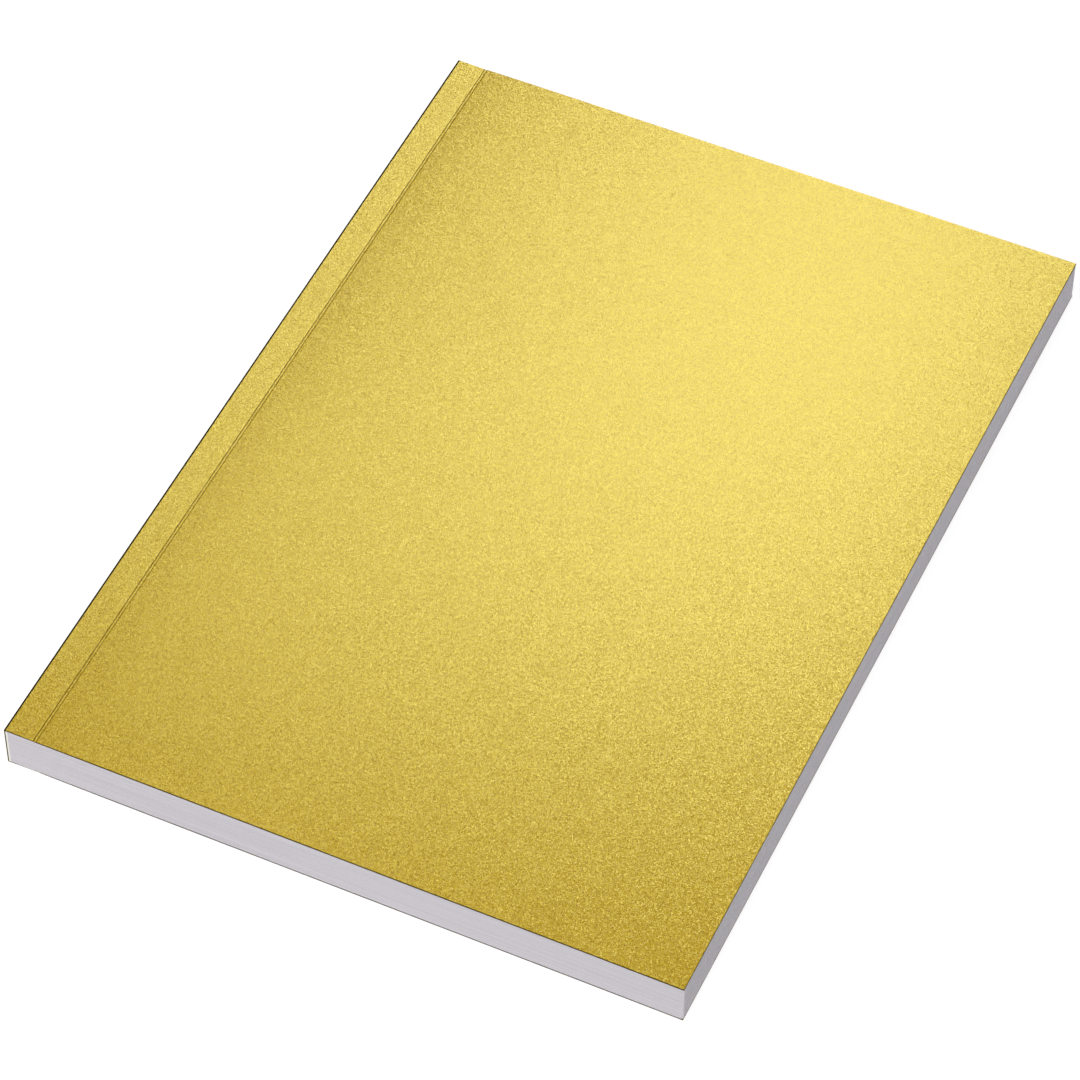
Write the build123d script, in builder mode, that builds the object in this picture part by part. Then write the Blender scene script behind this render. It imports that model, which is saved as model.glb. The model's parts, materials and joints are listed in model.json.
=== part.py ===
from build123d import *

import os

# Softcover notebook, perfect bound, lying closed on its back cover.
#
# The cover is one sheet of card, folded square round the spine and pressed with a hinge
# crease on each side. It is divided here along the middle of each crease, because each
# cover swings about its crease. Hot-melt adhesive holds the spine of the page block,
# fills the notches milled across it and runs a short way in under both hinge strips.
#
# Millimetres. +X runs from the spine to the fore-edge, +Y from tail to head and +Z up
# through the front cover. The origin is under the middle of the closed book.

# Trimmed size, half of a 297 x 210 sheet
trim_width = 148.5
trim_height = 210.0

# Cover card and its two square folds at the spine
card_thickness = 0.30
inner_fold_radius = 0.08

# Hinge crease pressed into the outside of each side of the cover
hinge_distance = 6.90
crease_floor_width = 0.44
crease_wall_run = 0.16
crease_depth = 0.15
crease_softening = 0.05

# Page block
leaf_count = 96
leaf_thickness = 0.10

# Notches milled across the spine of the block
notch_pitch = 6.0
notch_depth = 0.80
notch_root_width = 0.70
notch_flare = 0.25
notch_margin = 6.0

# Hot-melt adhesive
spine_glue_thickness = 0.40
side_glue_thickness = 0.06
side_glue_setback = 0.80

# Heights that follow
block_thickness = leaf_count * leaf_thickness
bay_height = block_thickness + 2 * side_glue_thickness
book_thickness = bay_height + 2 * card_thickness
mid_height = book_thickness / 2

# Places along X that follow
spine_x = -trim_width / 2
fore_edge_x = trim_width / 2
hinge_x = spine_x + hinge_distance
bay_x = spine_x + card_thickness
block_x = bay_x + spine_glue_thickness
side_glue_end_x = hinge_x - side_glue_setback

outer_fold_radius = inner_fold_radius + card_thickness
notch_count = int((trim_height - 2 * notch_margin) / notch_pitch) + 1

hinge_plane = Plane.YZ.offset(hinge_x)
mid_plane = Plane.XY.offset(mid_height)


def crease_section(outer_face, inward):
    """Section of a crease: sloping walls down from an outer face to a flat floor."""
    floor_level = outer_face + inward * crease_depth
    floor_edge = crease_floor_width / 2
    lip_edge = floor_edge + crease_wall_run
    with BuildSketch() as section:
        with BuildLine():
            Polyline(
                (hinge_x - lip_edge, outer_face),
                (hinge_x - floor_edge, floor_level),
                (hinge_x + floor_edge, floor_level),
                (hinge_x + lip_edge, outer_face),
                close=True,
            )
        make_face()
    return section.sketch


# Outline of one milled notch, seen from above, open to the spine at X = 0
with BuildSketch() as notch_outline:
    with BuildLine():
        Polyline(
            (0, -notch_root_width / 2 - notch_flare),
            (notch_depth, -notch_root_width / 2),
            (notch_depth, notch_root_width / 2),
            (0, notch_root_width / 2 + notch_flare),
            close=True,
        )
    make_face()

# The whole row of notches, along the spine of the block
with BuildSketch() as notch_row:
    with Locations((block_x, 0)):
        with GridLocations(0, notch_pitch, 1, notch_count):
            add(notch_outline.sketch)

# Section of the block with its adhesive, which fills the cover out to its folds
with BuildSketch() as bay_section:
    with Locations((bay_x, mid_height)):
        Rectangle(trim_width, bay_height, align=(Align.MIN, Align.CENTER))
    fillet(bay_section.vertices().group_by(Axis.X)[0], inner_fold_radius)

# The cover before it is divided: a square-backed U with a crease in each side
with BuildPart() as folded_cover:
    with BuildSketch(Plane.XZ) as cover_section:
        with Locations((0, mid_height)):
            Rectangle(trim_width, book_thickness)
        fillet(cover_section.vertices().group_by(Axis.X)[0], outer_fold_radius)
        add(bay_section.sketch, mode=Mode.SUBTRACT)
        add(crease_section(book_thickness, -1), mode=Mode.SUBTRACT)
        add(crease_section(0, 1), mode=Mode.SUBTRACT)
        crease_corners = cover_section.vertices().filter_by_position(
            Axis.X, hinge_x - hinge_distance / 2, hinge_x + hinge_distance / 2
        )
        fillet(crease_corners, crease_softening)
    extrude(amount=trim_height / 2, both=True)

# Front cover, from its hinge crease to the fore-edge
with BuildPart() as front_cover:
    add(folded_cover.part)
    split(bisect_by=hinge_plane, keep=Keep.TOP)
    split(bisect_by=mid_plane, keep=Keep.TOP)

# Back cover, from its hinge crease to the fore-edge
with BuildPart() as back_cover:
    add(folded_cover.part)
    split(bisect_by=hinge_plane, keep=Keep.TOP)
    split(bisect_by=mid_plane, keep=Keep.BOTTOM)

# Spine of the cover, with the two hinge strips that are glued down to the block
with BuildPart() as spine_wrap:
    add(folded_cover.part)
    split(bisect_by=hinge_plane, keep=Keep.BOTTOM)

# Page block: all the leaves, trimmed flush on three sides and milled along the spine
with BuildPart() as page_block:
    with BuildSketch(Plane.XZ):
        with Locations((block_x, mid_height)):
            Rectangle(fore_edge_x - block_x, block_thickness, align=(Align.MIN, Align.CENTER))
    extrude(amount=trim_height / 2, both=True)
    with BuildSketch(mid_plane):
        add(notch_row.sketch)
    extrude(amount=block_thickness / 2, both=True, mode=Mode.SUBTRACT)

# Adhesive: a layer on the spine, a film under each hinge strip and a rib in every notch
with BuildPart() as spine_glue:
    with BuildSketch(Plane.XZ) as glue_section:
        add(bay_section.sketch)
        with Locations((side_glue_end_x, mid_height)):
            Rectangle(trim_width, bay_height, align=(Align.MIN, Align.CENTER), mode=Mode.SUBTRACT)
        with Locations((block_x, mid_height)):
            Rectangle(trim_width, block_thickness, align=(Align.MIN, Align.CENTER), mode=Mode.SUBTRACT)
    extrude(amount=trim_height / 2, both=True)
    with BuildSketch(mid_plane):
        add(notch_row.sketch)
    extrude(amount=block_thickness / 2, both=True)

os.makedirs("parts", exist_ok=True)

front_cover.part.label = "front_cover"
export_step(front_cover.part, "parts/front_cover.step")

back_cover.part.label = "back_cover"
export_step(back_cover.part, "parts/back_cover.step")

spine_wrap.part.label = "spine_wrap"
export_step(spine_wrap.part, "parts/spine_wrap.step")

page_block.part.label = "page_block"
export_step(page_block.part, "parts/page_block.step")

spine_glue.part.label = "spine_glue"
export_step(spine_glue.part, "parts/spine_glue.step")
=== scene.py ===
"""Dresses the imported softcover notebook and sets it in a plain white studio.

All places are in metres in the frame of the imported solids: +X from the spine to the
fore-edge, +Y from tail to head and +Z up out of the front cover.
"""

import json
import logging
import math
import random
from dataclasses import dataclass
from enum import Enum
from typing import Iterable, Mapping, Sequence

import bpy
from mathutils import Matrix, Vector


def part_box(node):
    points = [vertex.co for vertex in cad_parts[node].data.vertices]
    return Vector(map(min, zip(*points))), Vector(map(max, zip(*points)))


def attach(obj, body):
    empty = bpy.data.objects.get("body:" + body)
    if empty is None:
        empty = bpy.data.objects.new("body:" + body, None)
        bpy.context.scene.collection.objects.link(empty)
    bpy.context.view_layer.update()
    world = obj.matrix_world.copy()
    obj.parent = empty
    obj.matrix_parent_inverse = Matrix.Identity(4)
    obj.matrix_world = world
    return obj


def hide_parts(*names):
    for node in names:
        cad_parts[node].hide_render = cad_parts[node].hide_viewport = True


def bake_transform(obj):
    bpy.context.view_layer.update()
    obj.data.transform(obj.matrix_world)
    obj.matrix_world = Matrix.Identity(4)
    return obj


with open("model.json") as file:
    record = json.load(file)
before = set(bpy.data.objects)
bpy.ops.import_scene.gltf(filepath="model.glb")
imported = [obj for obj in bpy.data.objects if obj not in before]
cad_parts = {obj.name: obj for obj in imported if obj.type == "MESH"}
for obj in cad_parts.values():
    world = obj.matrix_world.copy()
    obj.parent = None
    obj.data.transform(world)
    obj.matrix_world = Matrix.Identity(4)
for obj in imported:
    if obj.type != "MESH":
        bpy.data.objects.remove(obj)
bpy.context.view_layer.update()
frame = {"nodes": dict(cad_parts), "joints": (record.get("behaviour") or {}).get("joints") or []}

MM = 0.001

log = logging.getLogger("notebook")


class CoverSide(Enum):
    """One of the two covers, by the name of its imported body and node."""

    FRONT = "front_cover"
    BACK = "back_cover"


class CardFace(Enum):
    """What a face of the card shows, as the number of its material."""

    COATED = 0
    UNCOATED = 1
    # Cut card; on the fold its near-black is painted shade.
    CUT = 2
    # Crease walls, matt and darkened with painted shade.
    PAINTED_CREASE_SHADE = 3


class LeafFace(Enum):
    """What a face of a leaf shows, as the number of its material."""

    SHEET = 0
    TRIMMED = 1


def linear(hex_colour: str) -> tuple[float, float, float, float]:
    """Turns an sRGB colour into the linear one that the shaders take.

    Args:
        hex_colour: The colour as "#rrggbb".

    Returns:
        Linear red, green and blue, with an alpha of 1.
    """
    channels = [int(hex_colour[i : i + 2], 16) / 255 for i in (1, 3, 5)]
    red, green, blue = (
        c / 12.92 if c <= 0.04045 else ((c + 0.055) / 1.055) ** 2.4 for c in channels
    )
    return (red, green, blue, 1.0)


def add_node(
    tree: bpy.types.NodeTree,
    kind: str,
    inputs: dict[str | int, object] | None = None,
    **settings: object,
) -> bpy.types.Node:
    """Adds a node with its settings, and sets or links its inputs.

    Args:
        tree: The node tree that gets the node.
        kind: Blender's type name of the node.
        inputs: Socket name or number to a value, or to the output that feeds it.
        **settings: Properties of the node itself.

    Returns:
        The new node.
    """
    node = tree.nodes.new(kind)
    for name, value in settings.items():
        setattr(node, name, value)
    for name, value in (inputs or {}).items():
        if isinstance(value, bpy.types.NodeSocket):
            tree.links.new(value, node.inputs[name])
        else:
            node.inputs[name].default_value = value
    return node


def new_material(name: str) -> tuple[bpy.types.Material, bpy.types.NodeTree]:
    """Makes an empty node material.

    Args:
        name: The material's name.

    Returns:
        The material and its cleared node tree.
    """
    material = bpy.data.materials.new(name)
    material.use_nodes = True
    material.node_tree.nodes.clear()
    return material, material.node_tree


def mottled(
    tree: bpy.types.NodeTree,
    colour: object,
    patterns: Sequence[tuple[bpy.types.NodeSocket, float]],
) -> bpy.types.NodeSocket:
    """Makes a colour lighter and darker by patterns that run from 0 to 1.

    Args:
        tree: The node tree.
        colour: The colour, as a socket or as linear values.
        patterns: Each pattern's output, and how far it swings the brightness in all.

    Returns:
        The output with the mottled colour.
    """
    for pattern, contrast in patterns:
        swing = add_node(
            tree,
            "ShaderNodeMapRange",
            {"Value": pattern, "To Min": 1 - contrast / 2, "To Max": 1 + contrast / 2},
        )
        scaled = add_node(
            tree,
            "ShaderNodeVectorMath",
            {0: colour, "Scale": swing.outputs["Result"]},
            operation="SCALE",
        )
        colour = scaled.outputs["Vector"]
    return colour


def lay_surface(
    tree: bpy.types.NodeTree,
    inputs: dict[str, object],
    height: bpy.types.NodeSocket | None = None,
    relief: float = 0.0,
    normal: bpy.types.NodeSocket | None = None,
) -> None:
    """Adds the surface shader over a fine relief, and puts it out.

    Args:
        tree: The material's node tree.
        inputs: The shader's inputs.
        height: Pattern of the relief, from 0 to 1, if there is one.
        relief: How deep that pattern is, in metres.
        normal: Direction of the surface before the relief, if it isn't the mesh's own.
    """
    shader = add_node(tree, "ShaderNodeBsdfPrincipled", inputs)
    if height is not None:
        bump = add_node(tree, "ShaderNodeBump", {"Height": height, "Distance": relief})
        if normal is not None:
            tree.links.new(normal, bump.inputs["Normal"])
        tree.links.new(bump.outputs["Normal"], shader.inputs["Normal"])
    add_node(tree, "ShaderNodeOutputMaterial", {"Surface": shader.outputs["BSDF"]})


@dataclass(frozen=True)
class PearlescentCoat:
    """Outside of the card: gold dye and titania-coated mica, calendered smooth."""

    name: str = "pearlescent_card_calendered"
    dark_flakes: str = "#a97600"
    light_flakes: str = "#f2cb20"
    worn: str = "#43380a"
    glint: str = "#fff58f"
    flake_size: float = 0.15 * MM
    fibre_size: float = 0.7 * MM
    cloud_size: float = 14.0 * MM
    fibre_contrast: float = 0.08
    cloud_contrast: float = 0.03
    flake_tilt: float = 0.14
    ior: float = 2.5
    roughness: float = 0.195
    worn_roughness: float = 0.7
    relief: float = 0.004 * MM

    def build(self) -> bpy.types.Material:
        """Builds the coat's material.

        Returns:
            The material, which reads the rest attribute and the mesh's attribute for scuffs and
            painted fold shade.
        """
        # The mica plates lie nearly flat. To the eye they are a fine light and dark grain over
        # a satin sheen that moves with the light, and the titania on them gives the high IOR.
        # Real plates are 0.05 mm or less: they are drawn as clusters of 0.15 mm, as coarse as
        # they need to be to show in a picture of the whole book.
        material, tree = new_material(self.name)
        rest = add_node(tree, "ShaderNodeAttribute", attribute_name="rest").outputs["Vector"]
        wear_and_shade = add_node(tree, "ShaderNodeAttribute", attribute_name="wear_and_shade").outputs["Fac"]
        flakes = add_node(
            tree, "ShaderNodeTexVoronoi", {"Vector": rest, "Scale": 1 / self.flake_size}
        ).outputs["Color"]
        fibres = add_node(
            tree,
            "ShaderNodeTexNoise",
            {"Vector": rest, "Scale": 1 / self.fibre_size, "Detail": 2.0},
        ).outputs["Fac"]
        clouds = add_node(
            tree, "ShaderNodeTexNoise", {"Vector": rest, "Scale": 1 / self.cloud_size}
        ).outputs["Fac"]

        shade = add_node(tree, "ShaderNodeSeparateColor", {"Color": flakes}).outputs["Blue"]
        flake_colour = add_node(
            tree,
            "ShaderNodeMix",
            {"Factor": shade, 6: linear(self.dark_flakes), 7: linear(self.light_flakes)},
            data_type="RGBA",
        ).outputs[2]
        grain = mottled(
            tree, flake_colour, [(fibres, self.fibre_contrast), (clouds, self.cloud_contrast)]
        )
        colour = add_node(
            tree,
            "ShaderNodeMix",
            {"Factor": wear_and_shade, 6: grain, 7: linear(self.worn)},
            data_type="RGBA",
        ).outputs[2]
        roughness = add_node(
            tree,
            "ShaderNodeMapRange",
            {"Value": wear_and_shade, "To Min": self.roughness, "To Max": self.worn_roughness},
        ).outputs["Result"]

        off_centre = add_node(
            tree, "ShaderNodeVectorMath", {0: flakes, 1: (0.5, 0.5, 0.5)}, operation="SUBTRACT"
        )
        lean = add_node(
            tree,
            "ShaderNodeVectorMath",
            {0: off_centre.outputs["Vector"], "Scale": self.flake_tilt},
            operation="SCALE",
        )
        upright = add_node(tree, "ShaderNodeNewGeometry").outputs["Normal"]
        tilted = add_node(
            tree, "ShaderNodeVectorMath", {0: upright, 1: lean.outputs["Vector"]}, operation="ADD"
        )
        normal = add_node(
            tree, "ShaderNodeVectorMath", {0: tilted.outputs["Vector"]}, operation="NORMALIZE"
        ).outputs["Vector"]
        lay_surface(
            tree,
            {
                "Base Color": colour,
                "Roughness": roughness,
                "IOR": self.ior,
                "Specular Tint": linear(self.glint),
            },
            fibres,
            self.relief,
            normal,
        )
        return material


@dataclass(frozen=True)
class UncoatedCardSide:
    """Inside of the card: the dyed board itself, machine finished with no coat."""

    name: str = "dyed_card_machine_finished"
    board: str = "#cfa634"
    fibre_size: float = 0.6 * MM
    cloud_size: float = 9.0 * MM
    fibre_contrast: float = 0.22
    cloud_contrast: float = 0.06
    roughness: float = 0.62
    relief: float = 0.02 * MM

    def build(self) -> bpy.types.Material:
        """Builds the inside's material.

        Returns:
            The material, which reads the rest attribute of its mesh.
        """
        # Without mica there is no sheen: the eye sees flat gold board with a felt-like grain.
        material, tree = new_material(self.name)
        rest = add_node(tree, "ShaderNodeAttribute", attribute_name="rest").outputs["Vector"]
        fibres = add_node(
            tree,
            "ShaderNodeTexNoise",
            {"Vector": rest, "Scale": 1 / self.fibre_size, "Detail": 4.0, "Roughness": 0.65},
        ).outputs["Fac"]
        clouds = add_node(
            tree, "ShaderNodeTexNoise", {"Vector": rest, "Scale": 1 / self.cloud_size}
        ).outputs["Fac"]
        colour = mottled(
            tree,
            linear(self.board)[:3],
            [(fibres, self.fibre_contrast), (clouds, self.cloud_contrast)],
        )
        lay_surface(tree, {"Base Color": colour, "Roughness": self.roughness}, fibres, self.relief)
        return material


@dataclass(frozen=True)
class BareCard:
    """Card whose coat is gone or crushed, so that its dyed fibres are bare, with darker painted
    shade mixed in on the fold and the creases.
    """

    name: str = "dyed_card_guillotined_and_fold_shade"
    core: str = "#463e14"
    fold_shade: str = "#1c1602"
    fibre_size: float = 0.25 * MM
    fibre_contrast: float = 0.5
    ior: float = 1.15
    roughness: float = 0.9
    relief: float = 0.02 * MM

    def build(self) -> bpy.types.Material:
        """Builds the material.

        Returns:
            The material, which reads the rest attribute and the mesh's attribute for scuffs and
            painted fold shade.
        """
        # The knife smears the core's dark fibres, so the eye sees a thin olive outline round the
        # gold.
        # Where the card is folded hard its coat breaks to the olive core, and the near-black over
        # the fold is painted shade. The open pores take the shine away, which the low IOR stands
        # for.
        material, tree = new_material(self.name)
        rest = add_node(tree, "ShaderNodeAttribute", attribute_name="rest").outputs["Vector"]
        wear_and_shade = add_node(tree, "ShaderNodeAttribute", attribute_name="wear_and_shade").outputs["Fac"]
        fibres = add_node(
            tree, "ShaderNodeTexNoise", {"Vector": rest, "Scale": 1 / self.fibre_size}
        ).outputs["Fac"]
        fold = add_node(
            tree,
            "ShaderNodeMix",
            {"Factor": wear_and_shade, 6: linear(self.core), 7: linear(self.fold_shade)},
            data_type="RGBA",
        ).outputs[2]
        colour = mottled(tree, fold, [(fibres, self.fibre_contrast)])
        lay_surface(
            tree,
            {"Base Color": colour, "Roughness": self.roughness, "IOR": self.ior},
            fibres,
            self.relief,
        )
        return material


# The rule of the creasing press crushes the coat where its sides pass, and the marks lose their
# sheen. Their dark brown is painted shade for the groove, so the eye sees two fine brown lines
# along each crease.
CREASE_SHADE_CARD = BareCard(
    # Here the core colour is painted shade for the groove's walls.
    name="pearlescent_card_painted_crease_shade", core="#664a00", fold_shade="#4a3c02", fibre_contrast=0.3
)


@dataclass(frozen=True)
class PaperSheet:
    """Face of a leaf: wood-free writing paper, machine finished and uncoated."""

    name: str = "writing_paper_machine_finished"
    sheet: str = "#f3f1f0"
    fibre_size: float = 0.5 * MM
    fibre_contrast: float = 0.04
    roughness: float = 0.8
    relief: float = 0.01 * MM

    def build(self) -> bpy.types.Material:
        """Builds the leaf's material.

        Returns:
            The material.
        """
        # Bare fibres scatter the light: the eye sees a soft white with no gloss.
        material, tree = new_material(self.name)
        places = add_node(tree, "ShaderNodeTexCoord").outputs["Object"]
        fibres = add_node(
            tree,
            "ShaderNodeTexNoise",
            {"Vector": places, "Scale": 1 / self.fibre_size, "Detail": 4.0, "Roughness": 0.65},
        ).outputs["Fac"]
        colour = mottled(tree, linear(self.sheet)[:3], [(fibres, self.fibre_contrast)])
        lay_surface(tree, {"Base Color": colour, "Roughness": self.roughness}, fibres, self.relief)
        return material


@dataclass(frozen=True)
class TrimmedPaper:
    """Edges of the leaves: the same paper, guillotined in one stack."""

    name: str = "writing_paper_guillotined"
    # Edge colour, greyed with painted shade for the light lost between the leaves.
    edge: str = "#cbc7ce"
    fibre_size: float = 0.4 * MM
    bundle_height: float = 0.6 * MM
    bundle_length: float = 45.0 * MM
    fibre_contrast: float = 0.05
    bundle_contrast: float = 0.30
    roughness: float = 0.85
    relief: float = 0.01 * MM

    def build(self) -> bpy.types.Material:
        """Builds the edges' material.

        Returns:
            The material, which reads each leaf's brightness, with its painted highlights, from an
            attribute of the mesh.
        """
        # Some light is lost between the leaves; the block's greyer colour than its sheets is
        # painted shade for it. The eye sees hair lines along it: each leaf takes the knife a little
        # differently, and bundles of five or six leaves hold together as faint long streaks.
        material, tree = new_material(self.name)
        places = add_node(tree, "ShaderNodeTexCoord").outputs["Object"]
        tone_and_highlight = add_node(tree, "ShaderNodeAttribute", attribute_name="leaf_tone_and_highlight").outputs["Fac"]
        fibres = add_node(
            tree, "ShaderNodeTexNoise", {"Vector": places, "Scale": 1 / self.fibre_size}
        ).outputs["Fac"]
        along = 1 / self.bundle_length
        stretched = add_node(
            tree,
            "ShaderNodeVectorMath",
            {0: places, 1: (along, along, 1 / self.bundle_height)},
            operation="MULTIPLY",
        ).outputs["Vector"]
        bundles = add_node(
            tree, "ShaderNodeTexNoise", {"Vector": stretched, "Scale": 1.0}
        ).outputs["Fac"]
        leaf_colour = add_node(
            tree,
            "ShaderNodeVectorMath",
            {0: linear(self.edge)[:3], "Scale": tone_and_highlight},
            operation="SCALE",
        ).outputs["Vector"]
        colour = mottled(
            tree,
            leaf_colour,
            [(fibres, self.fibre_contrast), (bundles, self.bundle_contrast)],
        )
        lay_surface(tree, {"Base Color": colour, "Roughness": self.roughness}, fibres, self.relief)
        return material


@dataclass(frozen=True)
class HotMeltAdhesive:
    """EVA hot-melt adhesive, rolled on molten and pressed into the milled spine."""

    name: str = "eva_hot_melt_rolled"
    body: str = "#eae8de"
    ripple_size: float = 1.6 * MM
    contrast: float = 0.08
    roughness: float = 0.38
    relief: float = 0.03 * MM

    def build(self) -> bpy.types.Material:
        """Builds the adhesive's material.

        Returns:
            The material.
        """
        # The melt sets waxy and cream, with soft ripples from the roller. The eye sees a pale
        # line with a dull shine between the leaves and the card.
        material, tree = new_material(self.name)
        places = add_node(tree, "ShaderNodeTexCoord").outputs["Object"]
        ripples = add_node(
            tree,
            "ShaderNodeTexNoise",
            {"Vector": places, "Scale": 1 / self.ripple_size, "Detail": 2.0},
        ).outputs["Fac"]
        colour = mottled(tree, linear(self.body)[:3], [(ripples, self.contrast)])
        lay_surface(tree, {"Base Color": colour, "Roughness": self.roughness}, ripples, self.relief)
        return material


@dataclass(frozen=True)
class LightTable:
    """White acrylic table top, sanded matt and lit softly from below."""

    name: str = "white_acrylic_sanded"
    sheet: str = "#a8a8a8"
    lamp: str = "#f7f7f7"
    glow: float = 0.85
    grain_size: float = 3.0 * MM
    contrast: float = 0.01
    roughness: float = 0.95

    def build(self) -> bpy.types.Material:
        """Builds the floor's material.

        Returns:
            The material.
        """
        # The glow keeps the top a clean white, and the book throws hardly any shadow on it.
        material, tree = new_material(self.name)
        places = add_node(tree, "ShaderNodeTexCoord").outputs["Object"]
        grain = add_node(
            tree, "ShaderNodeTexNoise", {"Vector": places, "Scale": 1 / self.grain_size}
        ).outputs["Fac"]
        lay_surface(
            tree,
            {
                "Base Color": mottled(tree, linear(self.sheet)[:3], [(grain, self.contrast)]),
                "Roughness": self.roughness,
                "Emission Color": linear(self.lamp),
                "Emission Strength": self.glow,
            },
        )
        return material


@dataclass(frozen=True)
class BookPlaces:
    """Faces and hinge line of the closed book, in metres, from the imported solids."""

    spine_x: float
    fore_edge_x: float
    tail_y: float
    head_y: float
    back_z: float
    front_z: float
    hinge_x: float
    card: float

    @classmethod
    def from_frame(cls) -> "BookPlaces":
        """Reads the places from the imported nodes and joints.

        Returns:
            The places of this book.
        """
        wrap_low, wrap_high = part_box("spine_wrap")
        cover_low, cover_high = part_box(CoverSide.FRONT.value)
        hinges = {joint["child"]: joint["pos_m"] for joint in frame["joints"]}
        return cls(
            spine_x=wrap_low.x,
            fore_edge_x=cover_high.x,
            tail_y=wrap_low.y,
            head_y=wrap_high.y,
            back_z=wrap_low.z,
            front_z=wrap_high.z,
            hinge_x=hinges[CoverSide.FRONT.value][0],
            card=cover_high.z - cover_low.z,
        )

    def on_side(self, side: CoverSide, across: float, depth: float) -> Vector:
        """Gives a point by its distance from a cover's hinge line and below its face.

        Args:
            side: Which cover.
            across: Distance from the hinge line towards the fore-edge.
            depth: Distance inwards from the cover's outside face.

        Returns:
            The point in the XZ plane.
        """
        if side is CoverSide.FRONT:
            return Vector((self.hinge_x + across, self.front_z - depth))
        return Vector((self.hinge_x + across, self.back_z + depth))


@dataclass(frozen=True)
class CardStation:
    """One step along a card's section: its two faces there, and the outside's state.

    Wear runs from 0 to 1, and on the fold the same value paints its shade near-black. The finish
    shows where the next station has the same one.
    """

    outside: Vector
    inside: Vector
    # Wear at the fore-edge scuff; on the fold, the share of painted shade.
    wear_and_shade: float = 0.0
    finish: CardFace = CardFace.COATED


def spaced(start: float, end: float, steps: int) -> list[float]:
    """Divides a length evenly.

    Args:
        start: The first value.
        end: The last value.
        steps: How many equal steps lie between them.

    Returns:
        The steps + 1 values, both ends among them.
    """
    return [start + (end - start) * i / steps for i in range(steps + 1)]


def rounded(corners: Sequence[Vector], radius: float, steps: int) -> list[Vector]:
    """Rounds the inner corners of an open line.

    Args:
        corners: The line's points in the plane.
        radius: Radius of every rounding.
        steps: How many straight pieces each rounding has.

    Returns:
        The line's first point, the points of each arc, and its last point.
    """
    line = [corners[0]]
    for before, corner, after in zip(corners, corners[1:], corners[2:]):
        into = (corner - before).normalized()
        out = (after - corner).normalized()
        turn = math.atan2(into.cross(out), into.dot(out))
        reach = radius * math.tan(abs(turn) / 2)
        side = Vector((-into.y, into.x)) * math.copysign(radius, turn)
        centre = corner - into * reach + side
        for angle in spaced(0.0, turn, steps):
            line.append(centre + Matrix.Rotation(angle, 2) @ -side)
    line.append(corners[-1])
    return line


def link_mesh(
    mesh: bpy.types.Mesh,
    kinds: Sequence[Enum],
    materials: Mapping[Enum, bpy.types.Material],
    smooth_below: float,
) -> bpy.types.Object:
    """Closes a mesh's making: materials, smoothing and a place in the scene.

    Args:
        mesh: The mesh, named as its piece.
        kinds: What each face shows.
        materials: The material of each kind of face, in the order of their numbers.
        smooth_below: Edges that turn less than this are shaded smooth, in radians.

    Returns:
        The new object.
    """
    for material in materials.values():
        mesh.materials.append(material)
    mesh.polygons.foreach_set("material_index", [kind.value for kind in kinds])
    mesh.validate()
    mesh.shade_smooth()
    mesh.set_sharp_from_angle(angle=smooth_below)
    piece = bpy.data.objects.new(mesh.name, mesh)
    bpy.context.scene.collection.objects.link(piece)
    return piece


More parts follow.
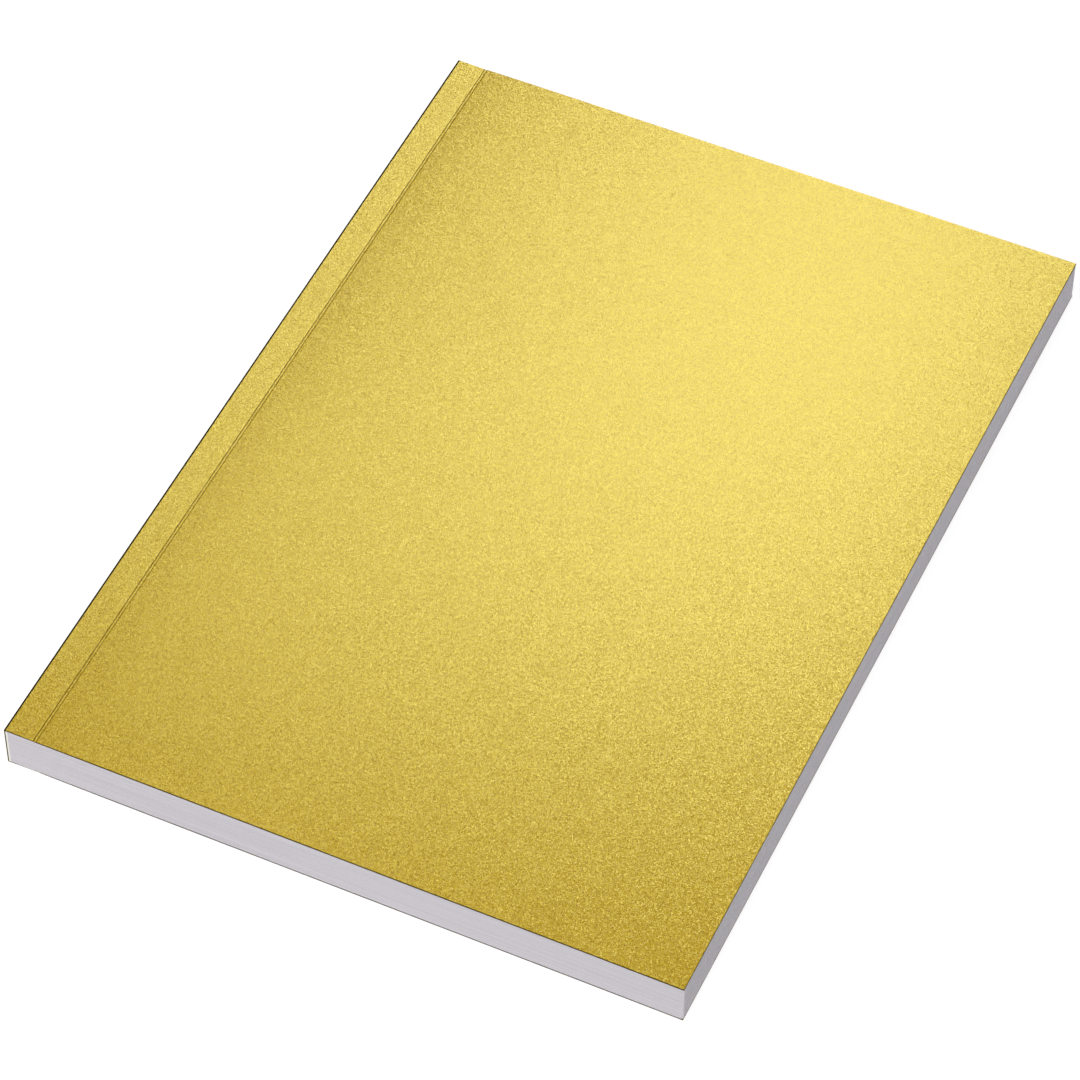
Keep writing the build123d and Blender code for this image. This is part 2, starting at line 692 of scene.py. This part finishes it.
class CardSheet:
    """A strip of card: a section of stations, swept from tail to head."""

    edge_softening: float = 0.03 * MM
    softened_share: float = 0.4
    tail_rim: float = 0.09 * MM
    rows: int = 14
    smooth_below: float = math.radians(25)

    def __init__(self, name: str, stations: Sequence[CardStation], places: BookPlaces) -> None:
        """Keeps what the sheet is made from.

        Args:
            name: The piece's name.
            stations: The section, from one end of the strip to the other.
            places: Where the book's faces are.
        """
        self.name = name
        self.stations = list(stations)
        self.places = places

    def _rings(self) -> list[list[Vector]]:
        """Works out the rings of points across the book, softened at tail and head.

        Returns:
            One ring for each step along Y: the outside points, then the inside ones.
        """
        soft = self.edge_softening
        tail, head = self.places.tail_y, self.places.head_y
        level = [tail + soft, *spaced(tail + self.tail_rim, head - soft, self.rows)]
        steps = [(tail, soft), *((y, 0.0) for y in level), (head, soft)]
        rings = []
        for y, inset in steps:
            outer, inner = [], []
            for station in self.stations:
                # In the crease the card is thin, so its two softened corners stay apart.
                through = station.inside - station.outside
                through *= min(inset / through.length, self.softened_share)
                for face, line, shift in (
                    (station.outside, outer, through),
                    (station.inside, inner, -through),
                ):
                    line.append(Vector((face.x + shift.x, y, face.y + shift.y)))
            rings.append(outer + inner)
        return rings

    def build(self, materials: dict[CardFace, bpy.types.Material]) -> bpy.types.Object:
        """Builds the sheet as one closed mesh with its attributes.

        Args:
            materials: The card's material for each kind of face.

        Returns:
            The new object.
        """
        rings = self._rings()
        count = len(self.stations)
        points = [point for ring in rings for point in ring]
        faces: list[tuple[int, ...]] = []
        kinds: list[CardFace] = []

        def add(kind: CardFace, *corners: tuple[int, int]) -> None:
            """Adds a face by the ring and place of each corner."""
            faces.append(tuple(ring * 2 * count + place for ring, place in corners))
            kinds.append(kind)

        last = len(rings) - 1
        for s, (station, following) in enumerate(zip(self.stations, self.stations[1:])):
            inner = count + s
            finish = station.finish if station.finish is following.finish else CardFace.COATED
            for r in range(last):
                # The trim rubs a narrow rim bare at the tail.
                at_edge = r in (0, 1, last - 1)
                outside = CardFace.CUT if at_edge else finish
                inside = CardFace.CUT if at_edge else CardFace.UNCOATED
                add(outside, (r, s), (r, s + 1), (r + 1, s + 1), (r + 1, s))
                add(inside, (r, inner + 1), (r, inner), (r + 1, inner), (r + 1, inner + 1))
            add(CardFace.CUT, (0, s + 1), (0, s), (0, inner), (0, inner + 1))
            add(CardFace.CUT, (last, s), (last, s + 1), (last, inner + 1), (last, inner))
        for r in range(last):
            far, far_inner = count - 1, 2 * count - 1
            add(CardFace.CUT, (r, count), (r, 0), (r + 1, 0), (r + 1, count))
            add(CardFace.CUT, (r, far), (r, far_inner), (r + 1, far_inner), (r + 1, far))

        # These values also carry the fold's painted shade.
        wear_and_shade = [station.wear_and_shade for station in self.stations] + [0.0] * count
        mesh = bpy.data.meshes.new(self.name)
        mesh.from_pydata(points, [], faces)
        mesh.attributes.new("wear_and_shade", "FLOAT", "POINT").data.foreach_set("value", wear_and_shade * len(rings))
        mesh.attributes.new("rest", "FLOAT_VECTOR", "POINT").data.foreach_set(
            "vector", [value for point in points for value in point]
        )
        return link_mesh(mesh, kinds, materials, self.smooth_below)


@dataclass
class CardCover:
    """The one sheet of card round the book: two swinging covers and the glued spine."""

    places: BookPlaces
    coat: PearlescentCoat = PearlescentCoat()
    inner_side: UncoatedCardSide = UncoatedCardSide()
    # Cut edges, and the fold painted near-black with shade.
    cut_edge_and_fold_shade: BareCard = BareCard()
    # Crease walls: matt crushed coat, darkened with painted shade.
    crease_shade: BareCard = CREASE_SHADE_CARD
    crease_floor: float = 0.48 * MM
    crease_wall: float = 0.13 * MM
    crease_depth: float = 0.24 * MM
    crease_softening: float = 0.05 * MM
    crease_margin: float = 0.01 * MM
    strip_dip: float = 0.17 * MM
    panel_dip: float = 0.11 * MM
    panel_dip_length: float = 6.0 * MM
    panel_dip_reach: float = 30.0 * MM
    inner_fold_radius: float = 0.08 * MM
    outer_fold_radius: float = 0.10 * MM
    # Turn before the spine's face over which the fold's painted shade fades out.
    fold_shade_fade: float = math.radians(9)
    scuff_width: float = 0.16 * MM
    scuff: float = 0.8
    seam_distance: float = 0.60 * MM
    guard: float = 0.04 * MM
    crease_arc_steps: int = 3
    crease_floor_steps: int = 8
    panel_steps: int = 12
    strip_steps: int = 3
    fold_steps: int = 10

    @property
    def fold_end(self) -> float:
        """Distance from the hinge line to where the fold begins, which is below zero."""
        return self.places.spine_x + self.outer_fold_radius - self.places.hinge_x

    @property
    def crease_lip(self) -> float:
        """Distance from the hinge line to either lip of the crease."""
        return self.crease_floor / 2 + self.crease_wall

    def _face_depth(self, across: float) -> float:
        """Depth of the card's outside, which dips towards the crease from both sides.

        Args:
            across: Distance from the hinge line towards the fore-edge.

        Returns:
            The depth below the flat cover's face.
        """
        if across > 0:
            return self.panel_dip * math.exp((self.crease_lip - across) / self.panel_dip_length)
        share = (across - self.fold_end) / (-self.crease_lip - self.fold_end)
        return self.strip_dip * max(share, 0.0)

    def _crease_line(self) -> list[Vector]:
        """Works out the outside of the card across a crease, from the seam on.

        Returns:
            Points as distance from the hinge line and height over the cover's face.
        """
        floor_edge = self.crease_floor / 2
        lip, depth = self.crease_lip, self.crease_depth
        seam = self.seam_distance
        corners = [
            Vector((-seam, -self._face_depth(-seam))),
            Vector((-lip, -self._face_depth(-lip))),
            Vector((-floor_edge, -depth)),
            Vector((floor_edge, -depth)),
            Vector((lip, -self._face_depth(lip))),
            Vector((seam, -self._face_depth(seam))),
        ]
        line = rounded(corners, self.crease_softening, self.crease_arc_steps)
        middle = len(line) // 2
        floor_places = spaced(-floor_edge, floor_edge, self.crease_floor_steps)[1:-1]
        return line[:middle] + [Vector((u, -depth)) for u in floor_places] + line[middle:]

    def _cover_stations(self, side: CoverSide) -> list[CardStation]:
        """Works out a cover's section, from beside its crease to the fore-edge.

        Args:
            side: Which cover.

        Returns:
            The stations in the XZ plane.
        """
        places = self.places
        foot = self.crease_floor / 2 - self.crease_margin
        stations = []
        for point in self._crease_line():
            # The crease's walls get the painted crease shade.
            pressed = foot <= abs(point.x) < self.crease_lip + self.guard
            stations.append(
                CardStation(
                    places.on_side(side, point.x, -point.y),
                    places.on_side(side, point.x, places.card),
                    finish=CardFace.PAINTED_CREASE_SHADE if pressed else CardFace.COATED,
                )
            )
        width = places.fore_edge_x - places.hinge_x
        soft = CardSheet.edge_softening
        flat_end = self.seam_distance + self.panel_dip_reach
        panel = spaced(self.seam_distance, flat_end, self.panel_steps)[1:]
        panel += spaced(flat_end, width - self.scuff_width, self.panel_steps)[1:]
        edge = [(u, self._face_depth(u), places.card, 0.0) for u in panel]
        edge.append((width - self.scuff_width / 2, 0.0, places.card, self.scuff))
        edge.append((width - soft, 0.0, places.card, self.scuff))
        edge.append((width, soft, places.card - soft, self.scuff))
        for across, outer, inner, wear_and_shade in edge:
            stations.append(
                CardStation(
                    places.on_side(side, across, outer),
                    places.on_side(side, across, inner),
                    wear_and_shade,
                )
            )
        return stations if side is CoverSide.FRONT else stations[::-1]

    def _fold_stations(self, side: CoverSide) -> list[CardStation]:
        """Works out one strip beside the spine with its fold, from the seam on.

        Args:
            side: Which cover the strip belongs to.

        Returns:
            The stations in the XZ plane.
        """
        places = self.places
        outer, inner = self.outer_fold_radius, self.inner_fold_radius
        inner_end = self.fold_end - outer + places.card + inner
        flat = spaced(-self.seam_distance, inner_end + self.guard, self.strip_steps)
        stations = []
        for across in [*flat, inner_end]:
            # The fold's first station is painted in its near-black shade.
            fold_shade = across <= inner_end
            stations.append(
                CardStation(
                    places.on_side(side, across, self._face_depth(across)),
                    places.on_side(side, across, places.card),
                    wear_and_shade=1.0 if fold_shade else 0.0,
                    finish=CardFace.CUT if fold_shade else CardFace.COATED,
                )
            )
        outer_centre = places.on_side(side, self.fold_end, outer)
        inner_centre = places.on_side(side, inner_end, places.card + inner)
        outward = (places.on_side(side, self.fold_end, 0.0) - outer_centre).normalized()
        quarter = math.pi / 2

        def away(turn: float) -> Vector:
            """Direction from a fold's centre, from the cover's face round to the spine's."""
            return Vector((-math.sin(turn), outward.y * math.cos(turn)))

        turns = spaced(0.0, quarter, self.fold_steps)
        inner_turns = spaced(0.0, quarter, self.fold_steps + 1)[1:]
        # The fold's faces are painted near-black with shade, which fades out just before the
        # spine's face.
        for turn, inner_turn in zip(turns, inner_turns):
            stations.append(
                CardStation(
                    outer_centre + away(turn) * outer,
                    inner_centre + away(inner_turn) * inner,
                    wear_and_shade=min(1.0, (quarter - turn) / self.fold_shade_fade),
                    finish=CardFace.CUT,
                )
            )
        past_fold = inner_centre - outward * self.guard
        stations.append(
            CardStation(
                Vector((places.spine_x, past_fold.y)),
                Vector((places.spine_x + places.card, past_fold.y)),
            )
        )
        return stations

    def build(self) -> list[bpy.types.Object]:
        """Builds the three sheets, and hangs the spine's sheet on the book block.

        Returns:
            The three new pieces.
        """
        places = self.places
        materials = {
            CardFace.COATED: self.coat.build(),
            CardFace.UNCOATED: self.inner_side.build(),
            CardFace.CUT: self.cut_edge_and_fold_shade.build(),
            CardFace.PAINTED_CREASE_SHADE: self.crease_shade.build(),
        }
        pieces = []
        for side in CoverSide:
            name = f"{side.value}_sheet"
            piece = CardSheet(name, self._cover_stations(side), places).build(materials)
            start = places.on_side(side, -self.crease_lip, 0.0)
            end = places.on_side(side, self.crease_lip, 0.0)
            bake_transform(piece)
            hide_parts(side.value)
            pieces.append(piece)
        section = self._fold_stations(CoverSide.BACK) + self._fold_stations(CoverSide.FRONT)[::-1]
        spine = CardSheet("spine_wrap_sheet", section, places).build(materials)
        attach(spine, "book_block")
        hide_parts("spine_wrap")
        pieces.append(spine)
        return pieces


@dataclass
class LeafStack:
    """The 96 leaves of the page block, each one cut a hair differently at its edges."""

    sheet: PaperSheet = PaperSheet()
    trimmed: TrimmedPaper = TrimmedPaper()
    leaf_thickness: float = 0.10 * MM
    air: float = 0.006 * MM
    loose_air: float = 0.020 * MM
    loose_share: float = 0.12
    cut_depth: float = 0.020 * MM
    wave_depth: float = 0.012 * MM
    corner_radius: float = 0.35 * MM
    notch_pitch: float = 6.0 * MM
    notch_depth: float = 0.80 * MM
    notch_root: float = 0.70 * MM
    notch_flare: float = 0.25 * MM
    notch_margin: float = 6.0 * MM
    waves: int = 5
    phase_spread: float = 0.8
    end_steps: int = 10
    fore_edge_steps: int = 14
    smooth_below: float = math.radians(10)
    tone_swing: float = 0.06
    # Painted highlight on the block's rounded vertical corners.
    corner_highlight: float = 1.20
    # Painted highlight on the outermost leaves.
    outer_leaf_highlight: float = 1.10
    seed: int = 7

    def _outline(self, low: Vector, high: Vector, inset: float, phase: float) -> list[Vector]:
        """Works out one leaf's outline, anticlockwise from above.

        Args:
            low: Lowest corner of the block.
            high: Highest corner of the block.
            inset: How far this leaf stays short of the trimmed faces.
            phase: Where along its edges this leaf's waviness starts.

        Returns:
            The outline's points in the XY plane.
        """
        wave = self.wave_depth / 2
        wave_length = (high.y - low.y) / self.waves

        def shy(place: float) -> float:
            """Distance inside the trimmed face at a place along an edge."""
            return inset + wave * (1 + math.sin(2 * math.pi * place / wave_length + phase))

        radius = self.corner_radius
        points = []
        for x in spaced(low.x, high.x - radius, self.end_steps):
            points.append(Vector((x, low.y + shy(x))))
        for y in spaced(low.y + radius, high.y - radius, self.fore_edge_steps):
            points.append(Vector((high.x - shy(y), y)))
        for x in spaced(high.x - radius, low.x, self.end_steps):
            points.append(Vector((x, high.y - shy(x))))
        middle = (low.y + high.y) / 2
        count = int((high.y - low.y - 2 * self.notch_margin) / self.notch_pitch) + 1
        for n in reversed(range(count)):
            y = middle + (n - (count - 1) / 2) * self.notch_pitch
            mouth = self.notch_root / 2 + self.notch_flare
            points.append(Vector((low.x, y + mouth)))
            points.append(Vector((low.x + self.notch_depth, y + self.notch_root / 2)))
            points.append(Vector((low.x + self.notch_depth, y - self.notch_root / 2)))
            points.append(Vector((low.x, y - mouth)))
        return points

    def build(self) -> bpy.types.Object:
        """Builds all the leaves as one piece.

        Returns:
            The new piece.
        """
        draw = random.Random(self.seed)
        low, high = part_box("page_block")
        leaf_count = round((high.z - low.z) / self.leaf_thickness)
        gaps = [
            self.loose_air if draw.random() < self.loose_share else self.air
            for _ in range(leaf_count - 1)
        ]
        thickness = (high.z - low.z - sum(gaps)) / leaf_count
        points: list[Vector] = []
        faces: list[list[int]] = []
        kinds: list[LeafFace] = []
        tones_and_highlights: list[float] = []
        level = low.z
        for leaf in range(leaf_count):
            outer_leaf = leaf in (0, leaf_count - 1)
            inset = 0.0 if outer_leaf else self.cut_depth * draw.random() ** 2
            outline = self._outline(low, high, inset, draw.uniform(0.0, self.phase_spread))
            # The outer leaves are lightened: a painted highlight along the block's top and bottom
            # edges.
            tone_and_highlight = self.outer_leaf_highlight if outer_leaf else 1 - self.tone_swing * draw.random()
            first, count = len(points), len(outline)
            points += [Vector((*point, level)) for point in outline]
            points += [Vector((*point, level + thickness)) for point in outline]
            faces.append([first + i for i in reversed(range(count))])
            faces.append([first + count + i for i in range(count)])
            kinds += [LeafFace.SHEET] * 2
            tones_and_highlights += [1.0] * 2
            for i in range(count):
                after = (i + 1) % count
                faces.append([first + i, first + after, first + count + after, first + count + i])
                kinds.append(LeafFace.TRIMMED)
                step = outline[after] - outline[i]
                # Faces at the rounded vertical corners are lightened: a painted highlight.
                at_corner = min(abs(step.x), step.y) > self.corner_radius / 2
                tones_and_highlights.append(tone_and_highlight * self.corner_highlight if at_corner else tone_and_highlight)
            if leaf < leaf_count - 1:
                level += thickness + gaps[leaf]
        mesh = bpy.data.meshes.new("page_block_leaves")
        mesh.from_pydata(points, [], faces)
        mesh.attributes.new("leaf_tone_and_highlight", "FLOAT", "FACE").data.foreach_set("value", tones_and_highlights)
        materials = {LeafFace.SHEET: self.sheet.build(), LeafFace.TRIMMED: self.trimmed.build()}
        piece = link_mesh(mesh, kinds, materials, self.smooth_below)
        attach(piece, "book_block")
        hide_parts("page_block")
        return piece


@dataclass
class SpineAdhesive:
    """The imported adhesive, which keeps its own solid and gets its finish here."""

    melt: HotMeltAdhesive = HotMeltAdhesive()
    node: str = "spine_glue"

    def build(self) -> bpy.types.Object:
        """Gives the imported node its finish.

        Returns:
            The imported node's object.
        """
        piece = frame["nodes"][self.node]
        piece.data.materials.clear()
        piece.data.materials.append(self.melt.build())
        return piece


def away_from(azimuth: float, elevation: float) -> Vector:
    """Gives the direction from the book to a viewer or a light.

    Args:
        azimuth: Angle from -Y towards +X, in radians.
        elevation: Angle over the floor, in radians.

    Returns:
        The unit direction.
    """
    level = math.cos(elevation)
    return Vector((math.sin(azimuth) * level, -math.cos(azimuth) * level, math.sin(elevation)))


def stand_off(name: str, data: bpy.types.ID, aim: Vector, away: Vector, roll: float) -> None:
    """Sets a light or a camera off from its aim, looking back at it.

    Args:
        name: The new object's name.
        data: The light or the camera.
        aim: The place that it looks at.
        away: Direction and distance from there.
        roll: Turn about its line of sight, in radians.
    """
    item = bpy.data.objects.new(name, data)
    item.location = aim + away
    upright = away.to_track_quat("Z", "Y").to_matrix()
    item.rotation_mode = "QUATERNION"
    item.rotation_quaternion = (upright @ Matrix.Rotation(roll, 3, "Z")).to_quaternion()
    bpy.context.scene.collection.objects.link(item)


@dataclass(frozen=True)
class Softbox:
    """A flat studio light with a white diffuser. Its angles are in degrees."""

    name: str
    azimuth: float
    elevation: float
    distance: float
    width: float
    height: float
    radiance: float
    roll: float = 0.0

    def build(self, aim: Vector) -> None:
        """Hangs the light and points it at a place.

        Args:
            aim: The place that it lights.
        """
        lamp = bpy.data.lights.new(self.name, "AREA")
        lamp.shape = "RECTANGLE"
        lamp.size = self.width
        lamp.size_y = self.height
        lamp.energy = math.pi * self.width * self.height * self.radiance
        away = away_from(math.radians(self.azimuth), math.radians(self.elevation))
        stand_off(self.name, lamp, aim, away * self.distance, math.radians(self.roll))


@dataclass
class Studio:
    """Glowing table, pale surround and soft lights."""

    table: LightTable = LightTable()
    table_size: float = 6.0
    surround: str = "#ffffff"
    surround_light: float = 0.13
    softboxes: tuple[Softbox, ...] = (
        Softbox("key_far", 196.8, 42.3, 1.68, 0.50, 0.32, 4.25, roll=29.6),
        Softbox("key_near", 206.0, 52.2, 0.80, 0.41, 0.15, 2.15),
        Softbox("overhead", 15.0, 66.0, 1.8, 1.1, 1.1, 3.5),
        Softbox("front_fill", -20.0, 22.0, 1.6, 1.2, 0.8, 2.4),
    )

    def build(self, floor_z: float) -> None:
        """Builds the table, the surround and the lights.

        Args:
            floor_z: Height of the surface that the book lies on.
        """
        half = self.table_size / 2
        mesh = bpy.data.meshes.new("studio_table")
        corners = [(-half, -half), (half, -half), (half, half), (-half, half)]
        mesh.from_pydata([(x, y, floor_z) for x, y in corners], [], [(0, 1, 2, 3)])
        mesh.materials.append(self.table.build())
        floor = bpy.data.objects.new("studio_table", mesh)
        bpy.context.scene.collection.objects.link(floor)

        world = bpy.data.worlds.new("studio_surround")
        world.use_nodes = True
        tree = world.node_tree
        tree.nodes.clear()
        surround = add_node(
            tree,
            "ShaderNodeBackground",
            {"Color": linear(self.surround), "Strength": self.surround_light},
        )
        add_node(tree, "ShaderNodeOutputWorld", {"Surface": surround.outputs["Background"]})
        bpy.context.scene.world = world
        for softbox in self.softboxes:
            softbox.build(Vector((0.0, 0.0, floor_z)))


@dataclass(frozen=True)
class PhotoCamera:
    """The camera of the photograph, from the perspective of the book's corners."""

    azimuth: float = 24.926
    elevation: float = 50.088
    roll: float = 0.073
    distance: float = 0.98685
    aim_x: float = 1.884 * MM
    aim_y: float = -14.959 * MM
    lens: float = 159.5
    sensor: float = 36.0
    nearest: float = 0.05
    farthest: float = 50.0

    def build(self, aim_z: float) -> None:
        """Makes the scene's camera.

        Args:
            aim_z: Height of the front cover, which holds the point in the picture's middle.
        """
        lens = bpy.data.cameras.new("photo_camera")
        lens.lens = self.lens
        lens.sensor_width = self.sensor
        lens.clip_start = self.nearest
        lens.clip_end = self.farthest
        away = away_from(math.radians(self.azimuth), math.radians(self.elevation))
        aim = Vector((self.aim_x, self.aim_y, aim_z))
        stand_off("photo_camera", lens, aim, away * self.distance, math.radians(self.roll))
        bpy.context.scene.camera = bpy.data.objects["photo_camera"]


def report(pieces: Iterable[bpy.types.Object]) -> None:
    """Logs each piece with its number of faces.

    Args:
        pieces: The pieces that were made or dressed.
    """
    for piece in pieces:
        log.info("%s: %d faces", piece.name, len(piece.data.polygons))


def main() -> None:
    """Builds and dresses the notebook, then the studio and the camera."""
    logging.basicConfig(level=logging.INFO, format="%(name)s: %(message)s")
    places = BookPlaces.from_frame()
    report(CardCover(places).build())
    report([LeafStack().build()])
    report([SpineAdhesive().build()])
    Studio().build(places.back_z)
    PhotoCamera().build(places.front_z)
    bpy.context.scene.view_settings.view_transform = "Standard"


if __name__ == "__main__":
    main()
